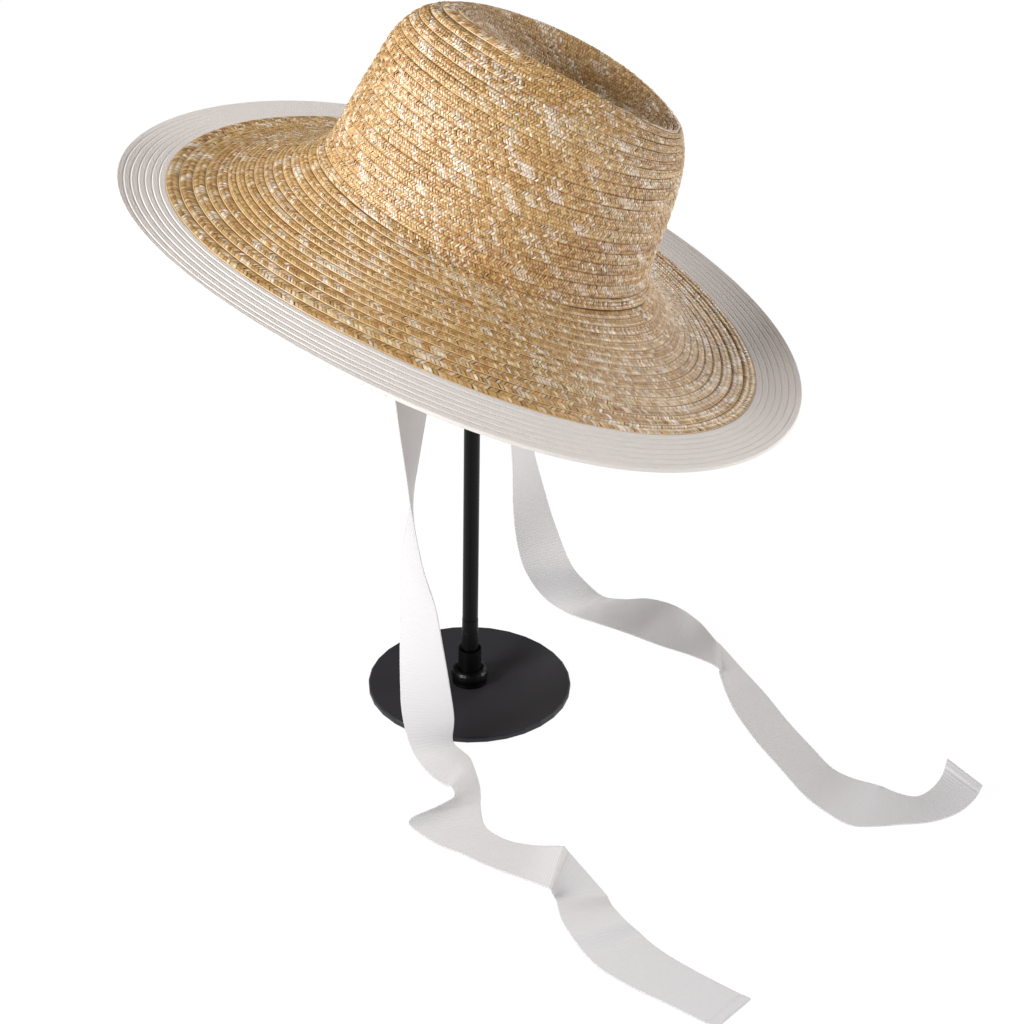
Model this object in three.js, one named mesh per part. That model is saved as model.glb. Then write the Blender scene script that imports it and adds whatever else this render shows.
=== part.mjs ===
import * as THREE from 'three';

// A wide-brim straw hat with two ribbon ties on a round-based display stand.
// Millimetres. Z goes up the post from the underside of the base, and +X is towards the hat's front.

// Stand.
const STAND_SEGMENTS = 32;
const FIT_GAP = 0.3;
const BASE_RADIUS = 61.5;
const BASE_THICKNESS = 4;
const BASE_EDGE = 0.8;
const FLANGE_RADIUS = 10.6;
const FLANGE_TOP = 6.6;
const GROOVE_RADIUS = 9.8;
const BEAD_RADIUS = 11.2;
const BEAD_MIDDLE = 10;
const BEAD_TOP = 14;
const BEAD_SHOULDER = 8.6;
const SLEEVE_RADIUS = 7;
const SLEEVE_TOP = 27.6;
const SLEEVE_RIM = 6.3;
const SLEEVE_RIM_DEPTH = 0.9;
const SLEEVE_FLOOR = 8;
const FERRULE_FOOT_RADIUS = 5.1;
const FERRULE_TOP_RADIUS = 4.85;
const FERRULE_TOP = 48.7;
const FERRULE_BAND = 40;
const BAND_DEPTH = 0.2;
const POST_RADIUS = 4.7;
const KNOB_RADIUS = 17;
const KNOB_FOOT = 6;
const KNOB_CLEARANCE = 0.4;

// Where the hat sits on the post.
const HAT_POSITION = new THREE.Vector3(6.4, 0, 309.2);
const HAT_PITCH = THREE.MathUtils.degToRad(23);
const HAT_ROLL = THREE.MathUtils.degToRad(-1.7);

// Straw.
const RING_SEGMENTS = 40;
const WALL = 2;
const SEAM_GAP = 0.4;
const CROWN_ROWS = 18;
const DENT_RINGS = 6;
const CROWN_RIB = 0.9;
const BRIM_ROWS = 15;
const BRIM_RIB = 0.7;
const STRAW_WIDTH = 84;
const EDGE_ROWS = 7;
const EDGE_RIB = 0.5;
const BRIM_WIDTH = 111;
const UNDERSIDE_RINGS = 6;
const EDGE_UNDER_RINGS = 3;
const INSIDE_RINGS = 12;
const INSIDE_DENT_RINGS = 4;
const CROWN_FOOT = 0.08;

// Small steps that measure which way a surface faces: an angle, rows of a table, and millimetres.
const ANGLE_STEP = 0.01;
const CROWN_STEP = 0.02;
const BRIM_STEP = 0.5;

// The crown from its foot up to the ridge round the dent: how far each ring reaches to the front,
// to the back and to a side, and its height there. Taper draws the back of a ring in and the
// front of it out.
const crownTable = [
  { front: 100.0, frontZ: 0.0, back: 100.0, backZ: 0.0, side: 83.0, sideZ: 0.0, taper: 0.0 },
  { front: 97.0, frontZ: 3.0, back: 98.2, backZ: 3.0, side: 79.6, sideZ: 2.2, taper: 0.0 },
  { front: 94.6, frontZ: 7.0, back: 96.2, backZ: 7.0, side: 77.6, sideZ: 6.0, taper: 0.0 },
  { front: 92.8, frontZ: 14.0, back: 95.0, backZ: 14.0, side: 76.2, sideZ: 13.0, taper: 0.0 },
  { front: 91.4, frontZ: 28.0, back: 93.6, backZ: 28.0, side: 74.4, sideZ: 28.0, taper: 0.01 },
  { front: 89.9, frontZ: 43.0, back: 91.8, backZ: 44.0, side: 71.8, sideZ: 43.0, taper: 0.03 },
  { front: 87.8, frontZ: 58.0, back: 89.8, backZ: 60.0, side: 68.0, sideZ: 58.0, taper: 0.05 },
  { front: 85.0, frontZ: 71.0, back: 87.6, backZ: 76.0, side: 62.6, sideZ: 72.0, taper: 0.08 },
  { front: 82.0, frontZ: 79.0, back: 83.6, backZ: 87.0, side: 56.0, sideZ: 83.4, taper: 0.12 },
  { front: 79.0, frontZ: 85.0, back: 78.0, backZ: 95.2, side: 49.4, sideZ: 92.6, taper: 0.15 },
  { front: 76.4, frontZ: 89.0, back: 70.0, backZ: 100.6, side: 43.6, sideZ: 99.6, taper: 0.18 },
  { front: 74.4, frontZ: 91.2, back: 61.0, backZ: 103.4, side: 38.2, sideZ: 104.2, taper: 0.2 },
];

// The dent inside the ridge: how far a ring has drawn in to the middle, and how far it has dropped
// towards the floor at the sides, at the front and at the back.
const dentTable = [
  { reach: 1.0, sideDrop: 0.0, frontDrop: 0.0, backDrop: 0.0 },
  { reach: 0.88, sideDrop: 0.34, frontDrop: 0.28, backDrop: 0.1 },
  { reach: 0.7, sideDrop: 0.7, frontDrop: 0.62, backDrop: 0.32 },
  { reach: 0.45, sideDrop: 0.91, frontDrop: 0.88, backDrop: 0.66 },
  { reach: 0.2, sideDrop: 0.99, frontDrop: 0.98, backDrop: 0.92 },
  { reach: 0.0, sideDrop: 1.0, frontDrop: 1.0, backDrop: 1.0 },
];
const DENT_FLOOR = 80;
const DENT_CENTRE = 8;

// The brim falls away from the crown at the root angle and settles to the rim angle at its edge.
// Degrees of fall, as a mean and the waves round the hat that are added to it.
const rootFall = { mean: 32.6, cos1: -1.9, sin1: 3.1, cos2: 11.4, sin2: 0.8, cos3: 0, sin3: 0 };
const rimFall = { mean: 0.6, cos1: -13.6, sin1: -8.3, cos2: -8, sin2: -3.9, cos3: -2.2, sin3: 1 };

// Ribbons. Each row is one place along the ribbon, given by its two edges.
const RIBBON_THICKNESS = 1;
const RIBBON_STATIONS = 46;
const HEM_LENGTH = 5;
const HEM_THICKNESS = 1.8;
const RIBBON_WIDTH = 30;

const HEM_STEP = 0.04;
const ROW_STEP = 0.05;

// Each ribbon is sewn to the inside of the crown. Its ends there are places in the crown's table,
// and its angle goes round the crown from the front, in degrees.
const TIE_GAP = 1;
const TIE_ANGLE_STEP = 0.002;
const tiePlaces = [3.2, 2.4];
const nearTie = 241;
const farTie = 80;

// The hanging lengths: the middle of the ribbon and the compass turn of its width.
const nearFall = [
  { x: -32, y: -64.8, z: 316, turn: 153 },
  { x: -31.5, y: -67, z: 280, turn: 142 },
  { x: -31, y: -70, z: 232, turn: 125 },
  { x: -31, y: -73, z: 192, turn: 101 },
  { x: -31.2, y: -74, z: 172, turn: 90 },
  { x: -31, y: -75, z: 137, turn: 67 },
  { x: -28.3, y: -76, z: 111, turn: 48 },
  { x: -26.5, y: -77, z: 85, turn: 35 },
  { x: -24.5, y: -78, z: 57, turn: 20 },
  { x: -22.6, y: -78, z: 32, turn: 12 },
];
const farFall = [
  { x: 22, y: 71, z: 300, turn: -4 },
  { x: 22.5, y: 71, z: 270, turn: 12 },
  { x: 24, y: 71, z: 220, turn: 38 },
  { x: 26.5, y: 72, z: 170, turn: 58 },
  { x: 29, y: 73, z: 128, turn: 68 },
  { x: 34.5, y: 74, z: 88, turn: 50 },
  { x: 40.5, y: 75, z: 60, turn: 33 },
];

// The lying lengths: the edge farther from the hat's back, then the other one.
const nearLie = [
  { ax: -8, ay: -76, az: 12, bx: -33, by: -82, bz: 9 },
  { ax: -2, ay: -76, az: 4, bx: -22, by: -95, bz: 2.5 },
  { ax: 3, ay: -84, az: 2, bx: -11, by: -108, bz: 1.5 },
  { ax: 6, ay: -100, az: 4, bx: -14, by: -119, bz: 3 },
  { ax: 8, ay: -116, az: 4, bx: -20, by: -129, bz: 5 },
  { ax: 9, ay: -129, az: 2, bx: -27, by: -142, bz: 5 },
  { ax: 11, ay: -140, az: 1, bx: -16, by: -156, bz: 2 },
  { ax: 17, ay: -150, az: 1, bx: -2, by: -167, bz: 1 },
  { ax: 27, ay: -158, az: 1, bx: 12, by: -178, bz: 1 },
  { ax: 41, ay: -162, az: 3, bx: 29, by: -188, bz: 1 },
  { ax: 54, ay: -170, az: 7, bx: 45, by: -198, bz: 2.5 },
  { ax: 70, ay: -189, az: 6, bx: 50, by: -206, bz: 3 },
  { ax: 79, ay: -206, az: 2.5, bx: 51, by: -214, bz: 2 },
  { ax: 84, ay: -220, az: 1.5, bx: 55, by: -228, bz: 1 },
  { ax: 93, ay: -234, az: 3, bx: 63, by: -250, bz: 3 },
  { ax: 102, ay: -248, az: 2, bx: 75, by: -268, bz: 2 },
  { ax: 113, ay: -258, az: 1, bx: 92, by: -281, bz: 1 },
  { ax: 129, ay: -271, az: 1, bx: 109, by: -294, bz: 1 },
  { ax: 152, ay: -289, az: 1.2, bx: 133, by: -312, bz: 1.2 },
];
const farLie = [
  { ax: 62, ay: 82, az: 38, bx: 34, by: 70, bz: 38 },
  { ax: 73, ay: 92, az: 18, bx: 46, by: 80, bz: 14 },
  { ax: 84, ay: 98, az: 5, bx: 61, by: 82, bz: 2 },
  { ax: 97, ay: 98, az: 3, bx: 78, by: 73, bz: 1 },
  { ax: 112, ay: 88, az: 10, bx: 97, by: 61, bz: 1.5 },
  { ax: 128, ay: 72, az: 15, bx: 118, by: 46, bz: 2 },
  { ax: 143, ay: 58, az: 12, bx: 138, by: 32, bz: 3 },
  { ax: 156, ay: 42, az: 6, bx: 152, by: 18, bz: 5 },
  { ax: 168, ay: 21, az: 2, bx: 155, by: -2, bz: 3 },
  { ax: 180, ay: -5, az: 1.2, bx: 161, by: -26, bz: 1 },
  { ax: 191, ay: -33, az: 1, bx: 171, by: -55, bz: 1 },
  { ax: 203, ay: -60, az: 1.2, bx: 182, by: -80, bz: 1.2 },
  { ax: 216, ay: -86, az: 3, bx: 196, by: -110, bz: 1.5 },
  { ax: 224, ay: -98, az: 5, bx: 210, by: -131, bz: 1.5 },
  { ax: 236, ay: -102, az: 5, bx: 228, by: -137, bz: 1.5 },
  { ax: 248, ay: -106, az: 2, bx: 247, by: -137, bz: 2.5 },
  { ax: 259, ay: -109, az: 1.5, bx: 264, by: -136, bz: 4 },
  { ax: 268, ay: -105, az: 4, bx: 280, by: -128, bz: 4.5 },
  { ax: 275, ay: -97, az: 8, bx: 291, by: -117, bz: 6 },
  { ax: 279, ay: -88, az: 14, bx: 297, by: -107, bz: 9 },
];

const STRAW = { color: 0xc9a56b, roughness: 0.62, metalness: 0 };
const WHITE_BRAID = { color: 0xe6e1dc, roughness: 0.85, metalness: 0 };
const RIBBON = { color: 0xefecea, roughness: 0.7, metalness: 0 };
const BLACK_PAINT = { color: 0x17171a, roughness: 0.45, metalness: 0.3 };

function cubic(a, b, c, d, t) {
  const bend = (2 * a - 5 * b + 4 * c - d) * t * t;
  const twist = (3 * b - a - 3 * c + d) * t * t * t;
  return 0.5 * (2 * b + (c - a) * t + bend + twist);
}

// One row of a table, read smoothly between its rows.
function readTable(table, place) {
  const last = table.length - 1;
  const start = Math.min(Math.max(Math.floor(place), 0), last - 1);
  const t = place - start;
  const before = table[Math.max(start - 1, 0)];
  const after = table[Math.min(start + 2, last)];
  const row = {};
  for (const key of Object.keys(table[0])) {
    row[key] = cubic(before[key], table[start][key], table[start + 1][key], after[key], t);
  }
  return row;
}

function roundTheHat(side, front, back, angle) {
  const c = Math.cos(angle);
  return side + 0.5 * (front - back) * c + (0.5 * (front + back) - side) * c * c;
}

function crownPoint(angle, place) {
  const row = readTable(crownTable, place);
  const c = Math.cos(angle);
  return new THREE.Vector3(
    0.5 * (row.front - row.back) + 0.5 * (row.front + row.back) * c,
    row.side * Math.sin(angle) * (1 + row.taper * c),
    roundTheHat(row.sideZ, row.frontZ, row.backZ, angle),
  );
}

function dentPoint(angle, place) {
  const row = readTable(dentTable, place);
  const rim = crownPoint(angle, crownTable.length - 1);
  const drop = roundTheHat(row.sideDrop, row.frontDrop, row.backDrop, angle);
  return new THREE.Vector3(
    DENT_CENTRE + (rim.x - DENT_CENTRE) * row.reach,
    rim.y * row.reach,
    THREE.MathUtils.lerp(rim.z, DENT_FLOOR, drop),
  );
}

const CREST = crownTable.length - 1;
const TOP = CREST + dentTable.length - 1;

function crownSurface(angle, place) {
  return place <= CREST ? crownPoint(angle, Math.max(place, 0)) : dentPoint(angle, place - CREST);
}

function fall(waves, angle) {
  let sum = waves.mean;
  for (const n of [1, 2, 3]) {
    sum += waves['cos' + n] * Math.cos(n * angle) + waves['sin' + n] * Math.sin(n * angle);
  }
  return THREE.MathUtils.degToRad(sum);
}

// A point on the brim, a given distance out from the crown along the straw.
function brimSurface(angle, distance) {
  const foot = crownTable[0];
  const x = foot.front * Math.cos(angle);
  const y = foot.side * Math.sin(angle);
  const out = new THREE.Vector2(Math.cos(angle) / foot.front, Math.sin(angle) / foot.side).normalize();
  const root = fall(rootFall, angle);
  const rim = fall(rimFall, angle);
  const steps = 24;
  let reach = 0;
  let drop = 0;
  for (let i = 0; i < steps; i += 1) {
    const step = distance / steps;
    const slope = THREE.MathUtils.lerp(root, rim, ((i + 0.5) * step) / BRIM_WIDTH);
    reach += step * Math.cos(slope);
    drop += step * Math.sin(slope);
  }
  return new THREE.Vector3(x + out.x * reach, y + out.y * reach, -drop);
}

function surfaceNormal(surface, angle, place, step) {
  const along = surface(angle + ANGLE_STEP, place).sub(surface(angle - ANGLE_STEP, place));
  const up = surface(angle, place + step).sub(surface(angle, place - step));
  return along.cross(up).normalize();
}

function ring(surface, place, lift, step) {
  const points = [];
  for (let i = 0; i < RING_SEGMENTS; i += 1) {
    const angle = (2 * Math.PI * i) / RING_SEGMENTS;
    const normal = surfaceNormal(surface, angle, place, step);
    points.push(surface(angle, place).addScaledVector(normal, lift));
  }
  return points;
}

function meshFrom(name, positions, triangles, look) {
  const geometry = new THREE.BufferGeometry();
  geometry.setAttribute('position', new THREE.Float32BufferAttribute(positions, 3));
  geometry.setIndex(triangles);
  geometry.computeVertexNormals();
  const mesh = new THREE.Mesh(geometry, new THREE.MeshStandardMaterial(look));
  mesh.name = name;
  return mesh;
}

// Skins a run of rings. Where a run ends in a pole, all its rings close on that point.
function skin(name, rings, poles, look) {
  const positions = [];
  const triangles = [];
  const count = rings[0].length;
  for (const points of rings) {
    for (const p of points) {
      positions.push(p.x, p.y, p.z);
    }
  }
  const bands = poles ? rings.length - 1 : rings.length;
  for (let r = 0; r < bands; r += 1) {
    const here = r * count;
    const next = ((r + 1) % rings.length) * count;
    for (let i = 0; i < count; i += 1) {
      const j = (i + 1) % count;
      triangles.push(here + i, here + j, next + j, here + i, next + j, next + i);
    }
  }
  if (poles) {
    const first = positions.length / 3;
    for (const p of poles) {
      positions.push(p.x, p.y, p.z);
    }
    const lastRing = (rings.length - 1) * count;
    for (let i = 0; i < count; i += 1) {
      const j = (i + 1) % count;
      triangles.push(first, j, i, first + 1, lastRing + i, lastRing + j);
    }
  }
  return meshFrom(name, positions, triangles, look);
}

function evenPlaces(from, to, pointAt, count) {
  const samples = 200;
  const lengths = [0];
  for (let i = 1; i <= samples; i += 1) {
    let step = 0;
    for (const angle of [0, 0.5 * Math.PI, Math.PI]) {
      const a = pointAt(angle, THREE.MathUtils.lerp(from, to, (i - 1) / samples));
      const b = pointAt(angle, THREE.MathUtils.lerp(from, to, i / samples));
      step += a.distanceTo(b);
    }
    lengths.push(lengths[i - 1] + step);
  }
  const places = [];
  let k = 0;
  for (let i = 0; i <= count; i += 1) {
    const want = (lengths[samples] * i) / count;
    while (k < samples - 1 && lengths[k + 1] < want) {
      k += 1;
    }
    const part = (want - lengths[k]) / (lengths[k + 1] - lengths[k]);
    places.push(THREE.MathUtils.lerp(from, to, (k + part) / samples));
  }
  return places;
}

// Rows of straw stand proud between their seams.
function ribbed(surface, places, rib, step) {
  return places.map((place, i) => ring(surface, place, i % 2 ? rib : 0, step));
}

function makeCrown() {
  const side = evenPlaces(CROWN_FOOT, CREST, crownSurface, 2 * CROWN_ROWS);
  const dent = evenPlaces(CREST, TOP, crownSurface, DENT_RINGS).slice(1, -1);
  const outside = ribbed(crownSurface, side, CROWN_RIB, CROWN_STEP);
  for (const place of dent) {
    outside.push(ring(crownSurface, place, 0, CROWN_STEP));
  }
  const inPlaces = evenPlaces(CROWN_FOOT, CREST, crownSurface, INSIDE_RINGS);
  const inDent = evenPlaces(CREST, TOP, crownSurface, INSIDE_DENT_RINGS).slice(1, -1);
  const insidePlaces = inPlaces.concat(inDent);
  const inside = insidePlaces.map((place) => ring(crownSurface, place, -WALL, CROWN_STEP));
  const topOut = dentPoint(0, dentTable.length - 1);
  const topIn = topOut.clone().setZ(topOut.z - WALL);
  const rings = inside.reverse().concat(outside);
  return { mesh: skin('crown', rings, [topIn, topOut], STRAW), inside };
}

function makeBrimBand(name, from, to, rows, rib, underRings, look) {
  const places = [];
  for (let i = 0; i <= 2 * rows; i += 1) {
    places.push(THREE.MathUtils.lerp(to, from, i / (2 * rows)));
  }
  const inwards = (angle, distance) => brimSurface(angle, -distance);
  const top = ribbed(inwards, places.map((p) => -p), rib, BRIM_STEP);
  const under = [];
  for (let i = 0; i <= underRings; i += 1) {
    under.push(ring(inwards, -THREE.MathUtils.lerp(from, to, i / underRings), -WALL, BRIM_STEP));
  }
  return skin(name, top.concat(under), null, look);
}

// The two edges of a ribbon that lies flat on the inside of the crown's wall.
function tieRow(tieAngle, place) {
  const inset = -(WALL + TIE_GAP + 0.5 * RIBBON_THICKNESS);
  const onWall = (angle) => {
    const normal = surfaceNormal(crownSurface, angle, place, CROWN_STEP);
    return toWorld(crownSurface(angle, place).addScaledVector(normal, inset));
  };
  let half = TIE_ANGLE_STEP;
  while (onWall(tieAngle - half).distanceTo(onWall(tieAngle + half)) < RIBBON_WIDTH) {
    half += TIE_ANGLE_STEP;
  }
  const a = onWall(tieAngle - half);
  const b = onWall(tieAngle + half);
  return { ax: a.x, ay: a.y, az: a.z, bx: b.x, by: b.y, bz: b.z };
}

function ribbonRows(tie, fallTable, lieTable) {
  const tied = tiePlaces.map((place) => tieRow(THREE.MathUtils.degToRad(tie), place));
  const hanging = fallTable.map((row) => {
    const turn = THREE.MathUtils.degToRad(row.turn);
    const dx = 0.5 * RIBBON_WIDTH * Math.cos(turn);
    const dy = 0.5 * RIBBON_WIDTH * Math.sin(turn);
    return { ax: row.x + dx, ay: row.y + dy, az: row.z, bx: row.x - dx, by: row.y - dy, bz: row.z };
  });
  return [...tied, ...hanging, ...lieTable];
}

function makeRibbon(name, tie, fallTable, lieTable) {
  const rows = ribbonRows(tie, fallTable, lieTable);
  const edgesAt = (place) => {
    const row = readTable(rows, place);
    return [new THREE.Vector3(row.ax, row.ay, row.az), new THREE.Vector3(row.bx, row.by, row.bz)];
  };
  const last = rows.length - 1;
  const middleAt = (place) => {
    const [a, b] = edgesAt(place);
    return a.add(b).multiplyScalar(0.5);
  };
  const endRow = middleAt(last).distanceTo(middleAt(last - 1));
  const hemPlace = last - HEM_LENGTH / endRow;
  const places = [];
  for (let i = 0; i <= RIBBON_STATIONS; i += 1) {
    places.push((hemPlace * i) / RIBBON_STATIONS);
  }
  places.push(hemPlace + HEM_STEP, last);
  const positions = [];
  const triangles = [];
  places.forEach((place, i) => {
    const [a, b] = edgesAt(place);
    const low = Math.max(place - ROW_STEP, 0);
    const high = Math.min(place + ROW_STEP, last);
    const tangent = middleAt(high).sub(middleAt(low));
    const normal = a.clone().sub(b).cross(tangent).normalize();
    const half = 0.5 * (i > RIBBON_STATIONS ? HEM_THICKNESS : RIBBON_THICKNESS);
    for (const [edge, side] of [[a, 1], [b, 1], [b, -1], [a, -1]]) {
      const p = edge.clone().addScaledVector(normal, side * half);
      positions.push(p.x, p.y, p.z);
    }
    if (i > 0) {
      const before = 4 * (i - 1);
      for (let k = 0; k < 4; k += 1) {
        const m = (k + 1) % 4;
        const [p, q, r, t] = [before + k, before + 4 + k, before + 4 + m, before + m];
        // Both faces split along the same diagonal, so a twisted stretch keeps its thickness.
        triangles.push(...(k === 2 ? [p, q, t, q, r, t] : [p, q, r, p, r, t]));
      }
    }
  });
  const end = positions.length / 3 - 4;
  triangles.push(0, 1, 2, 0, 2, 3, end, end + 2, end + 1, end, end + 3, end + 2);
  return meshFrom(name, positions, triangles, RIBBON);
}

function turned(name, profile, look) {
  const points = profile.map(([r, z]) => new THREE.Vector2(r, z));
  const geometry = new THREE.LatheGeometry(points, STAND_SEGMENTS);
  geometry.rotateX(0.5 * Math.PI);
  const mesh = new THREE.Mesh(geometry, new THREE.MeshStandardMaterial(look));
  mesh.name = name;
  return mesh;
}

function placeOnPost(mesh) {
  mesh.geometry.rotateX(HAT_ROLL);
  mesh.geometry.rotateY(HAT_PITCH);
  mesh.geometry.translate(HAT_POSITION.x, HAT_POSITION.y, HAT_POSITION.z);
  return mesh;
}

// The highest place for the knob on the post at which it still clears the inside of the crown.
function knobHeight(inside) {
  const points = [];
  const fine = 5;
  for (let r = 1; r < inside.length; r += 1) {
    for (let i = 0; i < RING_SEGMENTS; i += 1) {
      const j = (i + 1) % RING_SEGMENTS;
      for (let u = 0; u <= fine; u += 1) {
        const low = inside[r - 1][i].clone().lerp(inside[r - 1][j], u / fine);
        const high = inside[r][i].clone().lerp(inside[r][j], u / fine);
        for (let v = 0; v <= fine; v += 1) {
          points.push(low.clone().lerp(high, v / fine));
        }
      }
    }
  }
  const clearance = KNOB_RADIUS + KNOB_CLEARANCE;
  let height = Infinity;
  for (const p of points) {
    const off = Math.hypot(p.x, p.y);
    if (off < clearance) {
      height = Math.min(height, p.z - Math.sqrt(clearance * clearance - off * off));
    }
  }
  return height;
}

function toWorld(p) {
  const axisX = new THREE.Vector3(1, 0, 0);
  const axisY = new THREE.Vector3(0, 1, 0);
  return p.clone().applyAxisAngle(axisX, HAT_ROLL).applyAxisAngle(axisY, HAT_PITCH).add(HAT_POSITION);
}

function makeStand(inside) {
  const collarBore = SLEEVE_RADIUS + FIT_GAP;
  const ferruleBore = FERRULE_FOOT_RADIUS + FIT_GAP;
  const deck = BASE_THICKNESS + FIT_GAP;
  const bead = [];
  const beadSteps = 6;
  for (let i = 0; i <= beadSteps; i += 1) {
    const t = Math.PI * (i / beadSteps - 0.5);
    const swell = Math.cos(t);
    const foot = t < 0 ? GROOVE_RADIUS : BEAD_SHOULDER;
    const rise = t < 0 ? BEAD_MIDDLE - FLANGE_TOP : BEAD_TOP - BEAD_MIDDLE;
    bead.push([foot + (BEAD_RADIUS - foot) * swell, BEAD_MIDDLE + rise * Math.sin(t)]);
  }
  const knobMiddle = knobHeight(inside.map((points) => points.map(toWorld)));
  const knobFoot = knobMiddle - Math.sqrt(KNOB_RADIUS ** 2 - KNOB_FOOT ** 2);
  const knob = [[0, knobFoot]];
  const knobStart = Math.asin((knobFoot - knobMiddle) / KNOB_RADIUS);
  const knobSteps = 8;
  for (let i = 0; i < knobSteps; i += 1) {
    const t = THREE.MathUtils.lerp(knobStart, 0.5 * Math.PI, i / knobSteps);
    knob.push([KNOB_RADIUS * Math.cos(t), knobMiddle + KNOB_RADIUS * Math.sin(t)]);
  }
  knob.push([0, knobMiddle + KNOB_RADIUS]);
  return [
    turned('stand_base', [
      [0, 0],
      [BASE_RADIUS - BASE_EDGE, 0],
      [BASE_RADIUS, BASE_EDGE],
      [BASE_RADIUS, BASE_THICKNESS - BASE_EDGE],
      [BASE_RADIUS - BASE_EDGE, BASE_THICKNESS],
      [0, BASE_THICKNESS],
    ], BLACK_PAINT),
    turned('stand_collar', [
      [collarBore, deck],
      [FLANGE_RADIUS, deck],
      [FLANGE_RADIUS, FLANGE_TOP],
      ...bead,
      [collarBore, BEAD_TOP],
      [collarBore, deck],
    ], BLACK_PAINT),
    turned('stand_sleeve', [
      [0, deck],
      [SLEEVE_RADIUS, deck],
      [SLEEVE_RADIUS, SLEEVE_TOP],
      [SLEEVE_RIM, SLEEVE_TOP],
      [ferruleBore, SLEEVE_TOP - SLEEVE_RIM_DEPTH],
      [ferruleBore, SLEEVE_FLOOR],
      [0, SLEEVE_FLOOR],
    ], BLACK_PAINT),
    turned('stand_ferrule', [
      [0, SLEEVE_FLOOR + FIT_GAP],
      [FERRULE_FOOT_RADIUS, SLEEVE_FLOOR + FIT_GAP],
      [FERRULE_FOOT_RADIUS, FERRULE_BAND],
      [FERRULE_FOOT_RADIUS - BAND_DEPTH, FERRULE_BAND + BAND_DEPTH],
      [FERRULE_TOP_RADIUS, FERRULE_TOP],
      [0, FERRULE_TOP],
    ], BLACK_PAINT),
    turned('stand_post', [
      [0, FERRULE_TOP + FIT_GAP],
      [POST_RADIUS, FERRULE_TOP + FIT_GAP],
      [POST_RADIUS, knobFoot - FIT_GAP],
      [0, knobFoot - FIT_GAP],
    ], BLACK_PAINT),
    turned('stand_head', knob, BLACK_PAINT),
  ];
}

const hat = new THREE.Group();
hat.name = 'straw_hat_on_stand';

const crown = makeCrown();
for (const piece of makeStand(crown.inside)) {
  hat.add(piece);
}
hat.add(placeOnPost(crown.mesh));
hat.add(placeOnPost(
  makeBrimBand('brim', SEAM_GAP, STRAW_WIDTH - SEAM_GAP, BRIM_ROWS, BRIM_RIB, UNDERSIDE_RINGS, STRAW),
));
hat.add(placeOnPost(
  makeBrimBand('brim_edge', STRAW_WIDTH, BRIM_WIDTH, EDGE_ROWS, EDGE_RIB, EDGE_UNDER_RINGS, WHITE_BRAID),
));
hat.add(makeRibbon('ribbon_near', nearTie, nearFall, nearLie));
hat.add(makeRibbon('ribbon_far', farTie, farFall, farLie));

export default hat;
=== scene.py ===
import bpy
import numpy as np
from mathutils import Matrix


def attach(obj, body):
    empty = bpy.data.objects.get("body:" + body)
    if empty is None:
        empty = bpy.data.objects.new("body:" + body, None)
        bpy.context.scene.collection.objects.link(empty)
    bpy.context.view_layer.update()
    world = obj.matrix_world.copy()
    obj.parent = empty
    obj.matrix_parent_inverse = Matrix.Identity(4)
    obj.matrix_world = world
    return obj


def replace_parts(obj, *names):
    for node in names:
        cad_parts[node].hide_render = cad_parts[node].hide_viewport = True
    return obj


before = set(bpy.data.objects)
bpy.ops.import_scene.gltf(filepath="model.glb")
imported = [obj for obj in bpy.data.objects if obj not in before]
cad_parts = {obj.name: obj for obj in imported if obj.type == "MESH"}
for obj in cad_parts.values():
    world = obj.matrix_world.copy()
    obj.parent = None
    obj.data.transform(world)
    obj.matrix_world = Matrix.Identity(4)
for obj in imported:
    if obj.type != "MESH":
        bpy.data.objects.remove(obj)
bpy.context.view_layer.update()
mm = 0.001
dice = np.random.default_rng(11)

# Where the hat sits, in millimetres and degrees. Its own x runs to the front, its z up the crown.
hatPlace = {"x": 6.4, "y": 0.0, "z": 309.2, "pitch": 23.0, "roll": -1.7}

# The crown from its foot to the ridge round the dent.
# Columns: front, frontZ, back, backZ, side, sideZ, taper.
crownTable = np.array([
    (100.0, 0.0, 100.0, 0.0, 83.0, 0.0, 0.0),
    (97.0, 3.0, 98.2, 3.0, 79.6, 2.2, 0.0),
    (94.6, 7.0, 96.2, 7.0, 77.6, 6.0, 0.0),
    (92.8, 14.0, 95.0, 14.0, 76.2, 13.0, 0.0),
    (91.4, 28.0, 93.6, 28.0, 74.4, 28.0, 0.01),
    (89.9, 43.0, 91.8, 44.0, 71.8, 43.0, 0.03),
    (87.8, 58.0, 89.8, 60.0, 68.0, 58.0, 0.05),
    (85.0, 71.0, 87.6, 76.0, 62.6, 72.0, 0.08),
    (82.0, 79.0, 83.6, 87.0, 56.0, 83.4, 0.12),
    (79.0, 85.0, 78.0, 95.2, 49.4, 92.6, 0.15),
    (76.4, 89.0, 70.0, 100.6, 43.6, 99.6, 0.18),
    (74.4, 91.2, 61.0, 103.4, 38.2, 104.2, 0.2),
])
# The dent inside the ridge. Columns: reach, sideDrop, frontDrop, backDrop.
dentTable = np.array([
    (1.0, 0.0, 0.0, 0.0),
    (0.88, 0.34, 0.28, 0.1),
    (0.7, 0.7, 0.62, 0.32),
    (0.45, 0.91, 0.88, 0.66),
    (0.2, 0.99, 0.98, 0.92),
    (0.0, 1.0, 1.0, 1.0),
])
dent = {"floor": 80.0, "centre": 8.0, "spine": 0.56, "tries": 12}
crest = len(crownTable) - 1
top = crest + len(dentTable) - 1

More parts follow.
